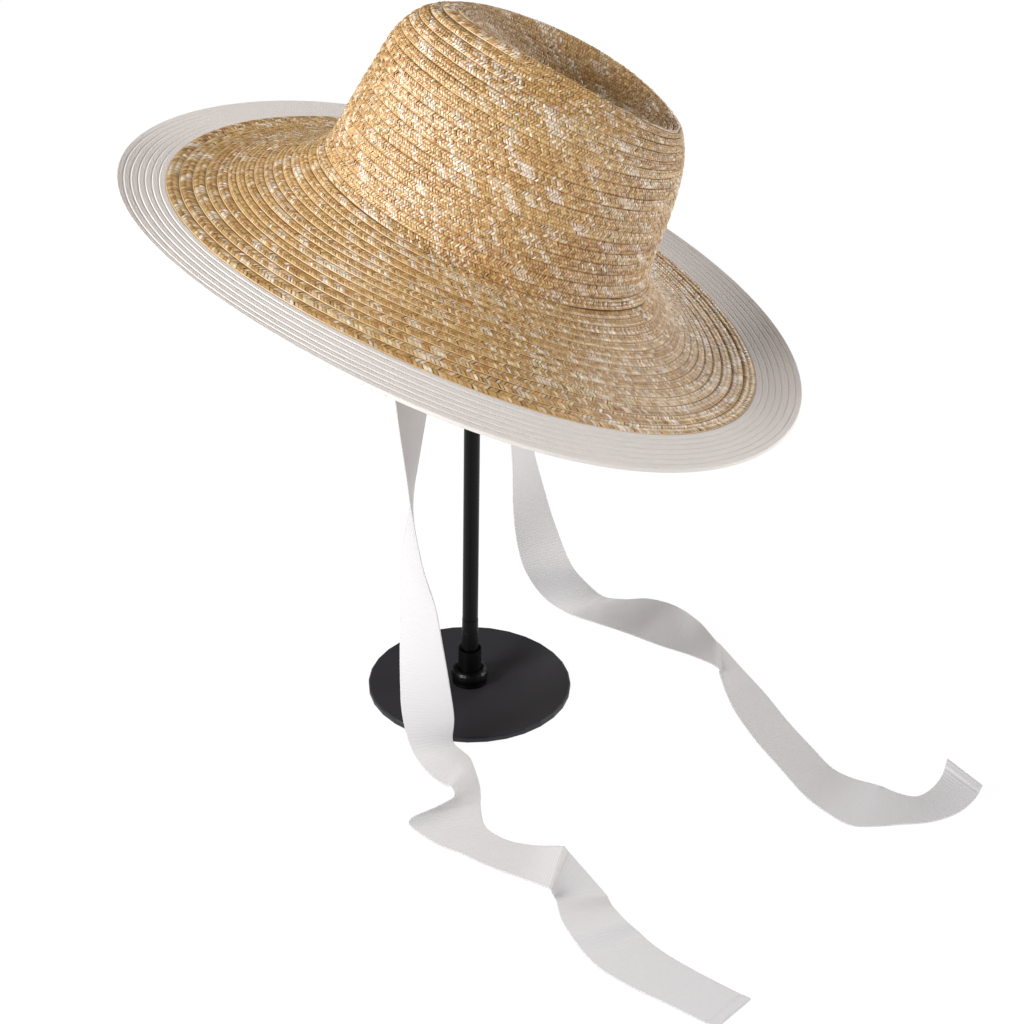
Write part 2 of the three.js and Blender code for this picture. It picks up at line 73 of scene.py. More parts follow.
# The brim: its width, and how far it falls at the crown and at the rim, in degrees, as a mean
# and then the cosine and sine of one, two and three waves round the hat.
brim = {
    "width": 111.0,
    "strawWidth": 84.0,
    "rootFall": (32.6, -1.9, 3.1, 11.4, 0.8, 0, 0),
    "rimFall": (0.6, -13.6, -8.3, -8, -3.9, -2.2, 1),
    "steps": 12,
}

# Lines round the hat are read at these turns.
ring = np.linspace(0, 2 * np.pi, 721)


# A smooth curve through the rows of a table.
def readTable(table, place):
    place = np.asarray(place, float)
    last = len(table) - 1
    start = np.clip(np.floor(place), 0, last - 1).astype(int)
    t = (place - start)[..., None]
    a, b = table[np.maximum(start - 1, 0)], table[start]
    c, d = table[start + 1], table[np.minimum(start + 2, last)]
    bend = (2 * a - 5 * b + 4 * c - d) * t**2 + (3 * b - a - 3 * c + d) * t**3
    return np.moveaxis(0.5 * (2 * b + (c - a) * t + bend), -1, 0)


def roundTheHat(side, front, back, angle):
    c = np.cos(angle)
    return side + 0.5 * (front - back) * c + (0.5 * (front + back) - side) * c * c


def crownWall(angle, place):
    front, frontZ, back, backZ, side, sideZ, taper = readTable(crownTable, place)
    x = 0.5 * (front - back) + 0.5 * (front + back) * np.cos(angle)
    y = side * np.sin(angle) * (1 + taper * np.cos(angle))
    return x, y, roundTheHat(sideZ, frontZ, backZ, angle)


def dentHeight(x, y):
    front, _, back, _, side, _, taper = crownTable[-1]
    length = 0.5 * (front + back)
    angle = np.arctan2(y, x - dent["centre"])
    reach = np.ones_like(angle)
    for _ in range(dent["tries"]):
        width = side * (1 + taper * np.cos(angle))
        offset = (0.5 * (front - back) - dent["centre"]) * reach
        alongX = (x - dent["centre"] - offset) / length
        reach = np.hypot(y / width, alongX)
        angle = np.arctan2(y / width, alongX)
    rimZ = crownWall(angle, np.full_like(x, crest))[2]
    places = np.linspace(0, len(dentTable) - 1, 400)
    reaches = readTable(dentTable, places)[0]
    place = np.interp(-np.clip(reach, 0, 1), -reaches, places)
    _, sideDrop, frontDrop, backDrop = readTable(dentTable, place)
    drop = roundTheHat(sideDrop, frontDrop, backDrop, angle)
    return rimZ * (1 - drop) + dent["floor"] * drop


# The crown, with the dent's rings drawn in to a spine so that its rows stay even in width.
def crownSurface(angle, place):
    angle, place = np.broadcast_arrays(np.asarray(angle, float), np.asarray(place, float))
    x, y, z = crownWall(angle, np.clip(place, 0, crest))
    reach = readTable(dentTable, np.clip(place - crest, 0, top - crest))[0]
    along = 1 - dent["spine"] * (1 - reach)
    inX = dent["centre"] + (x - dent["centre"]) * along
    inY = y * reach
    inside = place > crest
    if inside.any():
        inZ = dentHeight(inX, inY)
        x, y, z = (np.where(inside, a, b) for a, b in ((inX, x), (inY, y), (inZ, z)))
    return np.stack((x, y, z), -1)


# The crown read outwards from the middle of the dent, as the brim is read from the crown.
def crownOut(angle, out):
    return crownSurface(angle, top - out)


def fall(waves, angle):
    total = waves[0]
    for n in (1, 2, 3):
        total = total + waves[2 * n - 1] * np.cos(n * angle) + waves[2 * n] * np.sin(n * angle)
    return np.radians(total)


# The brim, a distance out from the crown along the straw.
def brimSurface(angle, distance):
    angle, distance = np.broadcast_arrays(np.asarray(angle, float), np.asarray(distance, float))
    front, side = crownTable[0, 0], crownTable[0, 4]
    out = np.stack((np.cos(angle) / front, np.sin(angle) / side), -1)
    out /= np.linalg.norm(out, axis=-1, keepdims=True)
    root, rim = fall(brim["rootFall"], angle), fall(brim["rimFall"], angle)
    steps = brim["steps"]
    reach, drop = 0, 0
    for i in range(steps):
        slope = root + (rim - root) * (i + 0.5) * distance / steps / brim["width"]
        reach = reach + distance / steps * np.cos(slope)
        drop = drop + distance / steps * np.sin(slope)
    x = front * np.cos(angle) + out[..., 0] * reach
    y = side * np.sin(angle) + out[..., 1] * reach
    return np.stack((x, y, -drop), -1)


def toWorld(points):
    roll, pitch = np.radians((hatPlace["roll"], hatPlace["pitch"]))
    rollTurn = np.array([
        (1, 0, 0),
        (0, np.cos(roll), -np.sin(roll)),
        (0, np.sin(roll), np.cos(roll)),
    ])
    pitchTurn = np.array([
        (np.cos(pitch), 0, np.sin(pitch)),
        (0, 1, 0),
        (-np.sin(pitch), 0, np.cos(pitch)),
    ])
    return points @ (pitchTurn @ rollTurn).T + (hatPlace["x"], hatPlace["y"], hatPlace["z"])


# Points on a surface, raised off it by the lift.
def lifted(surface, angle, out, lift):
    outStep = 0.4 if surface is brimSurface else 0.02
    angleStep = 0.01
    along = surface(angle + angleStep, out) - surface(angle - angleStep, out)
    away = surface(angle, out + outStep) - surface(angle, out - outStep)
    normal = np.cross(away, along)
    normal /= np.linalg.norm(normal, axis=-1, keepdims=True) + 1e-9
    return surface(angle, out) + normal * np.asarray(lift)[..., None]


# How long a line of points is, up to each of them.
def lengthsAlong(line):
    return np.concatenate(([0], np.cumsum(np.linalg.norm(np.diff(line, axis=0), axis=1))))


def lineRound(surface, out):
    return surface(ring, np.full(len(ring), out))


# Seams that share a surface out evenly, measured down both its sides.
def evenSeams(surface, start, end, count):
    outs = np.linspace(start, end, 400)
    length = 0
    for angle in (0.5 * np.pi, -0.5 * np.pi):
        length = length + lengthsAlong(surface(np.full(len(outs), angle), outs))
    return np.interp(np.linspace(0, length[-1], count + 1), length, outs)


def linear(red, green, blue):
    c = np.array((red, green, blue), float) / 255
    return np.where(c <= 0.04045, c / 12.92, ((c + 0.055) / 1.055) ** 2.4)


def newMaterial(name, colour, roughness, **sockets):
    material = bpy.data.materials.new(name)
    material.use_nodes = True
    shader = material.node_tree.nodes["Principled BSDF"]
    shader.inputs["Base Color"].default_value = (*linear(*colour), 1)
    shader.inputs["Roughness"].default_value = roughness
    for socket, value in sockets.items():
        shader.inputs[socket].default_value = value
    return material


# Noise by the place in space, with grains of about the given size.
def spaceNoise(material, size):
    nodes, links = material.node_tree.nodes, material.node_tree.links
    place = nodes.new("ShaderNodeTexCoord")
    noise = nodes.new("ShaderNodeTexNoise")
    noise.inputs["Scale"].default_value = 1 / (size * mm)
    noise.inputs["Detail"].default_value = 1
    links.new(place.outputs["Object"], noise.inputs["Vector"])
    return noise.outputs["Fac"]


def addBump(material, source, height):
    nodes, links = material.node_tree.nodes, material.node_tree.links
    bump = nodes.new("ShaderNodeBump")
    bump.inputs["Strength"].default_value = 1.0
    bump.inputs["Distance"].default_value = height * mm
    links.new(source, bump.inputs["Height"])
    links.new(bump.outputs["Normal"], nodes["Principled BSDF"].inputs["Normal"])


# A grid primitive whose rows are laid on the given points, closed where rows or columns meet.
# The rows' places on the map may be given.
def gridPiece(name, points, material, rowPlaces=None):
    rows, columns = points.shape[:2]
    bpy.ops.object.select_all(action="DESELECT")
    bpy.ops.mesh.primitive_grid_add(x_subdivisions=columns - 1, y_subdivisions=rows - 1)
    piece = bpy.context.object
    piece.name = name
    piece.data.vertices.foreach_set("co", (points.reshape(-1, 3) * mm).ravel())
    piece.data.update()
    if rowPlaces is not None:
        corners = np.empty(len(piece.data.loops), int)
        piece.data.loops.foreach_get("vertex_index", corners)
        columnPlaces = corners % columns / (columns - 1)
        places = np.stack((columnPlaces, np.asarray(rowPlaces)[corners // columns]), -1)
        piece.data.uv_layers[0].data.foreach_set("uv", places.ravel())
    bpy.ops.object.mode_set(mode="EDIT")
    bpy.ops.mesh.select_all(action="SELECT")
    bpy.ops.mesh.remove_doubles(threshold=0.00001)
    bpy.ops.mesh.normals_make_consistent(inside=False)
    bpy.ops.object.mode_set(mode="OBJECT")
    bpy.ops.object.shade_smooth()
    piece.data.materials.append(material)
    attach(piece, "root")
    return piece


# The plaited straw of the crown. Lengths are in millimetres.
braid = {
    "pitch": 1.7,  # of the floats along a row
    "wales": 3,  # of floats across a row
    "lean": 0.5,  # how far a float leans along the row for each millimetre across it
    # How far a row's outer edge stands over the next row, how round the row is, and how much
    # painted shade darkens the row's start under the lip before it: everywhere, and more at the
    # front and back.
    "lip": (0.25, 1.0),
    "bulge": (0.0, 0.85),
    "paintedGrooveShade": (0.0, 0.6),
    "grooveWidth": 0.13,  # of the row
    "pillow": 0.26,  # how much a float's middle stands over its sides
    "half": 0.47,  # half a float's width, of the pitch
    "jitter": 0.05,
    "tilt": 0.1,
    "uneven": 0.06,
    "wander": 0.3,
    "strands": 7,
    "strawLength": 75.0,
    # Along a float: where its stations are, how they rise, how wide they are, and how dark the
    # painted shade makes them, darker at the ends that tuck under.
    "stations": (-0.12, 0.3, 0.7, 1.12),
    "rises": (-0.28, 0.16, 0.16, -0.28),
    "widths": (0.76, 1.0, 1.0, 0.76),
    "paintedShades": (0.72, 1.0, 1.0, 0.72),
    # Painted shade on a float's sides, where it meets its neighbours.
    "paintedSideShade": 0.68,
    "paintedShadeTint": (0.8, 1.05, 1.35),  # the painted shade between floats is tinted a warmer brown
    # Straw colours and how common each is.
    "tones": (
        (228, 205, 168), (215, 181, 127), (203, 163, 106),
        (187, 146, 92), (180, 129, 77), (210, 191, 168),
    ),
    "shares": (0.08, 0.28, 0.36, 0.2, 0.05, 0.03),
    "bleached": (242, 229, 212),
    "bleachedShare": 0.17,
    # The folded edge of a row, a strand of its own: its depth of sinking, waves and their turn.
    "edgeRadius": 0.36,
    "edgeRise": 0.12,
    "edgeSink": (0.5, 2, 0.0),
    "edgeStep": 1.2,
    "edgeStations": 9,
    "edgeTurns": (-60, 0, 50, 115),
    "edgeColour": (222, 190, 140),
    # Painted shade across the folded edge, darker on its sides where it rolls into the seams.
    "edgePaintedShades": (0.7, 0.9, 1.0, 0.75),
}
# The brim's straw, where it differs from the crown's.
brimBraid = {
    **braid,
    "pitch": 1.8,
    "wales": 2,
    "lean": 0.6,
    "lip": (0.6, 0.0),
    "bulge": (0.45, 0.0),
    # Painted shade under each lip, the same all round the brim.
    "paintedGrooveShade": (0.3, 0.0),
    "pillow": 0.2,
    "jitter": 0.04,
    "tilt": 0.06,
    "wander": 0.5,
    # Lighter painted shade at a float's ends and sides than on the crown.
    "paintedShades": (0.76, 1.0, 1.0, 0.76),
    "paintedSideShade": 0.78,
    "edgeRadius": 0.34,
    "edgeRise": 0.22,
    "edgeSink": (0.45, 1, 180.0),
}


# The first of a pair everywhere, and the second as well towards the hat's front and back.
def moreAtEnds(pair, angle):
    return pair[0] + pair[1] * (1 - np.sin(angle) ** 6)


# How far a seam wanders off its place, which its neighbours nearly share.
def seamShift(seam, angle, look):
    shift = 0
    for n, phase in ((2, 0.4), (3, 2.1), (5, 4.4), (8, 1.3), (13, 5.2)):
        shift = shift + np.cos(n * angle + phase + seam * (0.35 + 0.21 * n)) / n**0.5
    return 0.55 * look["wander"] * shift


# The floats of one row. Arrays run over the floats, a float's stations and its three points
# across. The side is 1 for the top of the straw and -1 for its underside.
def braidRow(surface, seams, row, side, scale, look):
    inner, outer = seams[row], seams[row + 1]
    lengths = lengthsAlong(lineRound(surface, 0.5 * (inner + outer)))
    across = lineRound(surface, outer) - lineRound(surface, inner)
    width = float(np.mean(np.linalg.norm(across, axis=1)))
    count = max(10, int(round(lengths[-1] / (look["pitch"] * scale))))
    pitch = lengths[-1] / count
    phase = dice.uniform(0, 1)
    straws = 60
    toneColours = np.array([linear(*c) for c in look["tones"]])
    tones = dice.choice(len(toneColours), size=(look["strands"], straws), p=look["shares"])
    bleach = np.convolve(dice.normal(0, 1, count + 4), np.ones(3) / 3**0.5, "same")[2:-2]
    bleach = bleach > np.quantile(bleach, 1 - look["bleachedShare"])
    bleach = bleach * dice.uniform(0.3, 1, count)
    points, colours, places = [], [], []
    wales, stations = look["wales"], len(look["stations"])
    index = np.arange(count)[:, None, None]
    v = np.array((-1.0, 0.0, 1.0))[None, None, :]
    for wale in range(wales):
        t = ((np.array(look["stations"]) + wale) / wales)[None, :, None]
        held = np.clip(t, 0, 1)
        off = t - (wale + 0.5) / wales
        centre = index + phase + 0.5 * wale + dice.normal(0, look["uneven"], (count, 1, 1))
        centre = centre * pitch
        lean = off * width * look["lean"] * (1 if (row * wales + wale) % 2 else -1) * side
        half = look["half"] * pitch * np.array(look["widths"])[None, :, None]
        half = half * dice.normal(1, 0.1, (count, 1, 1))
        along = centre + lean + v * half
        angle = np.interp(along % lengths[-1], lengths, ring)
        lift = moreAtEnds(look["lip"], angle) * (held if side > 0 else 1 - held)
        roundness = moreAtEnds(look["bulge"], angle) * np.sin(np.pi * held)
        lift = lift + roundness * (1 if side > 0 else 0.3)
        lift = lift + np.array(look["rises"])[None, :, None] * scale**0.5
        lift = lift + look["pillow"] * (1 - v * v) - 0.1
        lift = lift + dice.normal(0, look["jitter"], (count, 1, 1))
        lift = lift + look["tilt"] * v * dice.normal(0, 1, (count, 1, 1))
        lift = lift + look["tilt"] * off * 2 * wales * dice.normal(0, 1, (count, 1, 1))
        lift = lift if side > 0 else -lift - 2.0
        shift = seamShift(row, angle, look) * (1 - t) + seamShift(row + 1, angle, look) * t
        out = inner + (outer - inner) * (np.clip(t, -0.02, 1.0) + shift / width)
        points.append(lifted(surface, angle, out, lift))

        # Every float of a strand is of one straw for the straw's length, and some are bleached.
        strand = (index[:, 0, 0] + 3 * wale) % look["strands"]
        straw = (centre[:, 0, 0] + 11.0 * strand) / look["strawLength"]
        tone = toneColours[tones[strand, straw.astype(int) % straws]]
        pale = np.roll(bleach, wale)[:, None]
        tone = tone * (1 - pale) + linear(*look["bleached"]) * pale
        tone = tone * dice.normal(1, 0.07, (count, 1)) * (1 + dice.normal(0, 0.02, (count, 3)))
        # Painted shade: each float darker at its tucked-under ends and at its sides, and darker in
        # the groove under the lip before it, with a random mottle over it; the shade is tinted a
        # warmer brown.
        paintedShade = np.array(look["paintedShades"])[None, :, None] * (1 - (1 - look["paintedSideShade"]) * v * v)
        paintedShade = paintedShade * dice.normal(1, 0.09, (count, stations, 3))
        paintedGrooveMask = np.exp(-((held / look["grooveWidth"]) ** 2))
        paintedShade = paintedShade * (1 - moreAtEnds(look["paintedGrooveShade"], angle) * paintedGrooveMask)
        colour = tone[:, None, None, :] * paintedShade[..., None] ** np.array(look["paintedShadeTint"])
        colours.append(np.clip(colour, 0.02, 0.95))
        placeAlong = (centre + lean + 0.94 * v * half) / lengths[-1]
        places.append(np.stack((placeAlong, np.broadcast_to(held, placeAlong.shape)), -1))
    return np.concatenate(points), np.concatenate(colours), np.concatenate(places)


def braidPiece(name, surface, seams, side=1, sectors=4, scales=None, look=braid):
    rows = len(seams) - 1
    points, colours, places = [], [], []
    for i in range(rows):
        scale = 1.0 if scales is None else scales[i]
        rowPoints, rowColours, rowPlaces = braidRow(surface, seams, i, side, scale, look)
        rowPlaces[..., 1] = (i + rowPlaces[..., 1]) / rows
        points.append(rowPoints)
        colours.append(rowColours)
        places.append(rowPlaces)
    points, colours, places = (np.concatenate(part) for part in (points, colours, places))
    # The map is cut into sectors laid above each other, so that a texture is used evenly.
    sector = np.clip(np.floor(places[:, 2, 1, 0] * sectors), 0, sectors - 1)[:, None, None]
    u = 0.02 + 0.96 * (places[..., 0] * sectors - sector)
    v = (sector + 0.01 + 0.98 * places[..., 1]) / sectors
    return strandPiece(name, points, np.stack((u, v), -1), colours, side < 0)


# One mesh of many small patches, each a grid of points with its own colours.
def strandPiece(name, points, places, colours, turnedOver=False):
    count, stations, width = points.shape[:3]
    each = stations * width
    corner = np.arange(stations)[:, None] * width + np.arange(width)[None, :]
    quad = (corner[:-1, :-1], corner[1:, :-1], corner[1:, 1:], corner[:-1, 1:])
    quad = np.stack(quad, -1).reshape(-1, 4)
    if turnedOver:
        quad = quad[:, ::-1]
    quads = (np.arange(count)[:, None, None] * each + quad[None]).reshape(-1, 4)
    mesh = bpy.data.meshes.new(name)
    mesh.vertices.add(count * each)
    mesh.vertices.foreach_set("co", (toWorld(points.reshape(-1, 3)) * mm).ravel())
    mesh.loops.add(quads.size)
    mesh.loops.foreach_set("vertex_index", quads.ravel())
    mesh.polygons.add(len(quads))
    mesh.polygons.foreach_set("loop_start", np.arange(0, quads.size, 4))
    mesh.polygons.foreach_set("use_smooth", np.ones(len(quads), bool))
    mesh.update(calc_edges=True)
    bake = mesh.uv_layers.new(name="OFBake")
    bake.data.foreach_set("uv", places.reshape(-1, 2)[quads.ravel()].ravel())
    colour = mesh.color_attributes.new(name="strawColourAndShade", type="FLOAT_COLOR", domain="POINT")
    rgba = np.concatenate((colours.reshape(-1, 3), np.ones((count * each, 1))), -1)
    colour.data.foreach_set("color", rgba.ravel())
    mesh.materials.append(strawMaterial)
    piece = bpy.data.objects.new(name, mesh)
    bpy.context.collection.objects.link(piece)
    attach(piece, "root")
    print("made", name, len(quads) * 2, "triangles")
    return piece


# The folded edges of the rows, each a half-round strand along its seam, in short lengths that
# stand end to end.
def edgeStrands(name, surface, seams, sectors, look):
    points, colours, places = [], [], []
    rows, stations = len(seams) - 1, look["edgeStations"]
    turn = np.radians(np.array(look["edgeTurns"]))[None, None, :]
    radius = look["edgeRadius"]
    swell = 1 + 0.16 * np.cos(np.pi * np.arange(stations))[None, :, None]
    # Every other station is lower and is painted darker as shade in that dip.
    paintedDipShade = (1 - 0.12 * (np.arange(stations) % 2))[None, :, None, None]
    sink, waves, turned = look["edgeSink"]
    for row in range(1, rows + 1):
        line = lineRound(surface, seams[row])
        lengths = lengthsAlong(line)
        width = np.linalg.norm(line - lineRound(surface, seams[row - 1]), axis=1)
        width = float(np.mean(width))
        count = max(2, int(round(lengths[-1] / (look["edgeStep"] * (stations - 1)))))
        step = np.arange(count)[:, None, None] + np.linspace(0, 1, stations)[None, :, None]
        angle = np.interp(step / count * lengths[-1], lengths, ring)
        shift = seamShift(row, angle, look) - 0.2 + radius * np.sin(turn)
        out = seams[row] + (seams[row] - seams[row - 1]) / width * shift
        lift = moreAtEnds(look["lip"], angle) - 0.1 + look["edgeRise"] * swell
        lift = lift - 0.5 * sink * (1 - np.cos(waves * (angle - np.radians(turned))))
        lift = lift + radius * (np.cos(turn) - 1)
        angle, out, lift = np.broadcast_arrays(angle, out, lift)
        points.append(lifted(surface, angle, out, lift))
        tone = linear(*look["edgeColour"]) * dice.normal(1, 0.08, (count, stations, 1, 1))
        # Painted shade across the strand and in its dips.
        paintedShade = np.array(look["edgePaintedShades"])[None, None, :, None] * paintedDipShade
        colours.append(np.clip(tone * paintedShade ** np.array(look["paintedShadeTint"]), 0.02, 0.95))
        sector = np.floor(np.arange(count) / count * sectors)[:, None, None]
        u = 0.02 + 0.96 * (step / count * sectors - sector)
        v = (sector + (row - 1 + 0.25 * np.arange(4)[None, None, :]) / rows) / sectors
        places.append(np.stack(np.broadcast_arrays(u, v), -1))
    points, places, colours = (np.concatenate(part) for part in (points, places, colours))
    return strandPiece(name, points, places, colours)


# The straw's colour is each float's own, with painted shade in it, and fine fibres over it.
straw = {"roughness": 0.38, "specular": 0.85, "fibre": 0.6, "fibreDepth": 0.16}
strawMaterial = newMaterial(
    "split straw", (214, 174, 116), straw["roughness"], **{"Specular IOR Level": straw["specular"]}
)
strawNodes, strawLinks = strawMaterial.node_tree.nodes, strawMaterial.node_tree.links
strawColourAndShade = strawNodes.new("ShaderNodeVertexColor")
strawColourAndShade.layer_name = "strawColourAndShade"
fibre = strawNodes.new("ShaderNodeMapRange")
fibre.inputs["From Min"].default_value = 0.3
fibre.inputs["From Max"].default_value = 0.7
fibre.inputs["To Min"].default_value = 1 - straw["fibreDepth"]
fibre.inputs["To Max"].default_value = 1 + straw["fibreDepth"]
fibreColour = strawNodes.new("ShaderNodeVectorMath")
fibreColour.operation = "SCALE"
strawLinks.new(spaceNoise(strawMaterial, straw["fibre"]), fibre.inputs["Value"])
strawLinks.new(strawColourAndShade.outputs["Color"], fibreColour.inputs[0])
strawLinks.new(fibre.outputs["Result"], fibreColour.inputs["Scale"])
strawShader = strawNodes["Principled BSDF"]
strawLinks.new(fibreColour.outputs["Vector"], strawShader.inputs["Base Color"])

# The rows: on the crown's tip and its side, and on the brim, where the outer ones are wider.
tipRows, sideRows = 8, 18
crownSeams = np.concatenate((
    evenSeams(crownOut, 0.0, top - crest, tipRows)[:-1],
    evenSeams(crownOut, top - crest, top - 0.08, sideRows),
))
brimRows = np.array([5.1] * 10 + [5.6, 6.2, 6.8, 7.2, 7.2])
brimSeams = np.concatenate(([0], np.cumsum(brimRows)))
brimSeams *= brim["strawWidth"] / brimSeams[-1]
brimScales = np.array([1.0] * 12 + [1.1, 1.3, 1.5])

# The closed wall that the floats lie on, with its rows shingled as theirs are, but less.
# Its dark brown is straw beneath the floats, darkened as painted shade in the gaps between them.
ground = {"colour": (132, 97, 54), "columns": 181, "sink": 0.5, "thickness": 1.1, "share": 0.8}
groundShadeMaterial = newMaterial("straw ground in painted shade", ground["colour"], 0.7)


def wallPiece(name, surface, seams, look):
    turns = np.linspace(0, 2 * np.pi, ground["columns"])
    outs, lips, bulges = [], [], []
    for inner, outer in zip(seams[:-1], seams[1:]):
        for t in (0.03, 0.5, 0.97):
            outs.append(inner + (outer - inner) * t)
            lips.append(ground["share"] * t)
            bulges.append(ground["share"] * np.sin(np.pi * t))
    angle, out = np.meshgrid(turns, np.array(outs))
    upper = np.array(lips)[:, None] * moreAtEnds(look["lip"], angle) - ground["sink"]
    upper = upper + np.array(bulges)[:, None] * moreAtEnds(look["bulge"], angle)
    under = np.full_like(upper, -ground["sink"] - ground["thickness"])
    above, below = lifted(surface, angle, out, upper), lifted(surface, angle, out, under)
    points = np.concatenate((above, below[::-1], above[:1]))
    points[:, -1] = points[:, 0]
    return gridPiece(name, toWorld(points), groundShadeMaterial)


brimGround = wallPiece("brim_ground", brimSurface, np.append(-1.6, brimSeams[1:]), brimBraid)
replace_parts(brimGround, "brim")
crownGround = wallPiece("crown_ground", crownOut, np.clip(crownSeams, 0.02, None), braid)
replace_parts(crownGround, "crown")
print("made the walls under the straw")

braidPiece("crown_tip_braid", crownOut, crownSeams[:tipRows + 1], sectors=5)
braidPiece("crown_side_braid", crownOut, crownSeams[tipRows:], sectors=5)
braidPiece("brim_braid", brimSurface, brimSeams, scales=brimScales, look=brimBraid)
braidPiece(
    "brim_braid_underside", brimSurface, brimSeams, side=-1, scales=brimScales * 1.3, look=brimBraid
)
edgeStrands("crown_row_edges", crownOut, crownSeams, 5, braid)
edgeStrands("brim_row_edges", brimSurface, brimSeams, 4, brimBraid)

# The white braid round the rim. A row of it across its width is given as place and rise, with
# the raised line at its outer side.
edge = {
    "rows": 7,
    "profile": (
        (0.02, -0.02), (0.1, 0.28), (0.3, 0.38), (0.55, 0.42), (0.78, 0.48), (0.92, 0.56),
        (0.99, 0.3),
    ),
    "thickness": 1.6,
    "columns": 541,
    "wander": 0.5,
    "colour": (226, 219, 214),
    "grain": 0.9,
    "grainHeight": 0.5,
}
edgeMaterial = newMaterial("white braid", edge["colour"], 0.75)
addBump(edgeMaterial, spaceNoise(edgeMaterial, edge["grain"]), edge["grainHeight"])


def edgePiece():
    seams = np.linspace(brim["strawWidth"], brim["width"], edge["rows"] + 1)
    outs, lifts, owners = [], [], []
    for row in range(edge["rows"]):
        for t, rise in edge["profile"]:
            outs.append(seams[row] + (seams[row + 1] - seams[row]) * t)
            lifts.append(rise)
            owners.append(row + t)
    outs = np.array(outs + outs[::-1] + outs[:1])
    lifts = np.array(lifts + [-edge["thickness"] - lift for lift in lifts[::-1]] + lifts[:1])
    owners = np.array(owners + owners[::-1] + owners[:1])
    angle, out = np.meshgrid(np.linspace(0, 2 * np.pi, edge["columns"]), outs)
    inside = (owners > 0.5) & (owners < edge["rows"] - 0.5)
    out = out + seamShift(owners[:, None], angle, edge) * inside[:, None]
    points = lifted(brimSurface, angle, out, np.broadcast_to(lifts[:, None], angle.shape))
    points[:, -1] = points[:, 0]
    return gridPiece("white_braid_edge", toWorld(points), edgeMaterial)


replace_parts(edgePiece(), "brim_edge")
print("made the white edge")

# The two ribbons. The hem is thicker, where the end is folded back and stitched: its profile is
# the distance from the end and the thickness there, down to the ribbon's own thickness.
ribbon = {
    "width": 30.0,
    "hem": ((0, 0.3, 5.0, 5.5, 6.0, 7.0), (0.6, 1.5, 1.4, 0.5, 0.5, 0.7)),
    "hemLength": 10.0,
    "hemStations": 20,
    "stations": 300,
    "across": (0, 0.012, *np.linspace(0.04, 0.96, 9), 0.988, 1),
    "inset": 3.5,  # of its middle from the outside of the crown's wall
    "tiePlaces": (3.2, 2.4),  # on the crown's table
    "colour": (201, 199, 200),
    "ribs": 330,
    "ribHeight": 0.035,
}
# The hanging lengths: the ribbon's middle and the compass turn of its width.
# Columns: x, y, z, turn.
nearFall = (
    (-32, -64.8, 316, 165), (-31.5, -67, 280, 203), (-31, -70, 232, 235), (-31, -73, 192, 259),
    (-31.2, -74, 172, 270), (-31, -75, 137, 293), (-28.3, -76, 111, 312), (-26.5, -77, 85, 325),
    (-24.5, -79, 57, 342), (-22.3, -81, 32, 358),
)
farFall = (
    (22, 71, 300, -4), (22.5, 71, 270, 12), (24, 71, 220, 38), (26.5, 72, 170, 58),
    (29, 73, 128, 68), (34.5, 74, 88, 50), (40.5, 75, 60, 33),
)
# The lying lengths, by both edges. Columns: ax, ay, az, bx, by, bz.
nearLie = (
    (-8, -79, 14, -31, -88, 12), (-2, -80, 7, -21, -100, 5), (2, -82, 4, -12, -107, 2.5),
    (5, -90, 1.5, -8, -114, 6.5), (8, -105, 1.5, -6, -130, 11), (9, -119, 3, -15, -141, 12),
    (9, -127, 3, -30, -152, 11), (10, -136, 2, -28, -154, 6), (12, -144, 1, -14, -163, 2),
    (17, -151, 1, 0, -170, 1), (27, -158, 1, 12, -179, 1), (41, -168, 6, 29, -194, 5),
    (55, -180, 15, 47, -212, 11), (58, -183, 14, 49, -215, 11), (78, -203, 1.5, 51, -213, 5),
    (80, -208, 1.5, 52, -216, 4.5), (82, -222, 7, 54, -231, 6), (88, -232, 6.5, 59, -245, 6),
    (96, -236, 1, 67, -255, 1), (102, -245, 1, 76, -268, 1), (113, -257, 1, 92, -282, 1),
    (129, -271, 1, 109, -294, 1), (152, -289, 1, 133, -312, 1),
)
farLie = (
    (62, 82, 38, 34, 70, 38), (73, 92, 18, 46, 80, 14), (84, 98, 5, 61, 82, 2),
    (97, 98, 3, 78, 73, 1), (112, 88, 10, 97, 61, 1.5), (128, 72, 15, 118, 46, 2),
    (143, 63, 9, 136, 31, 5), (152, 42, 9, 151, 14, 8), (156, 38, 7, 153, 10, 5),
    (168, 21, 1.5, 156, -4, 1.5), (180, -5, 1.2, 161, -26, 1), (191, -33, 1, 171, -55, 1),
    (203, -60, 1.2, 182, -80, 1.2), (213, -84, 3, 195, -109, 1.2), (223, -101, 8, 206, -126, 2),
    (234, -106, 8, 218, -137, 1.5), (240, -103, 4, 231, -138, 1.5), (248, -106, 2, 247, -137, 2.5),
    (259, -109, 1.5, 264, -136, 4), (268, -105, 4, 280, -128, 4.5), (275, -97, 8, 291, -117, 6),
    (279, -88, 14, 297, -107, 9),
)
ribbonMaterial = newMaterial("white grosgrain", ribbon["colour"], 0.6)


# Fine ribs across the ribbon, counted along the piece's own map.
def ribBump(material, count, height):
    nodes, links = material.node_tree.nodes, material.node_tree.links
    place = nodes.new("ShaderNodeUVMap")
    place.uv_map = "UVMap"
    parts = nodes.new("ShaderNodeSeparateXYZ")
    links.new(place.outputs["UV"], parts.inputs["Vector"])
    along, wave = nodes.new("ShaderNodeMath"), nodes.new("ShaderNodeMath")
    along.operation, wave.operation = "MULTIPLY", "SINE"
    along.inputs[1].default_value = count * 2 * np.pi
    links.new(parts.outputs["Y"], along.inputs[0])
    links.new(along.outputs[0], wave.inputs[0])
    addBump(material, wave.outputs[0], height)


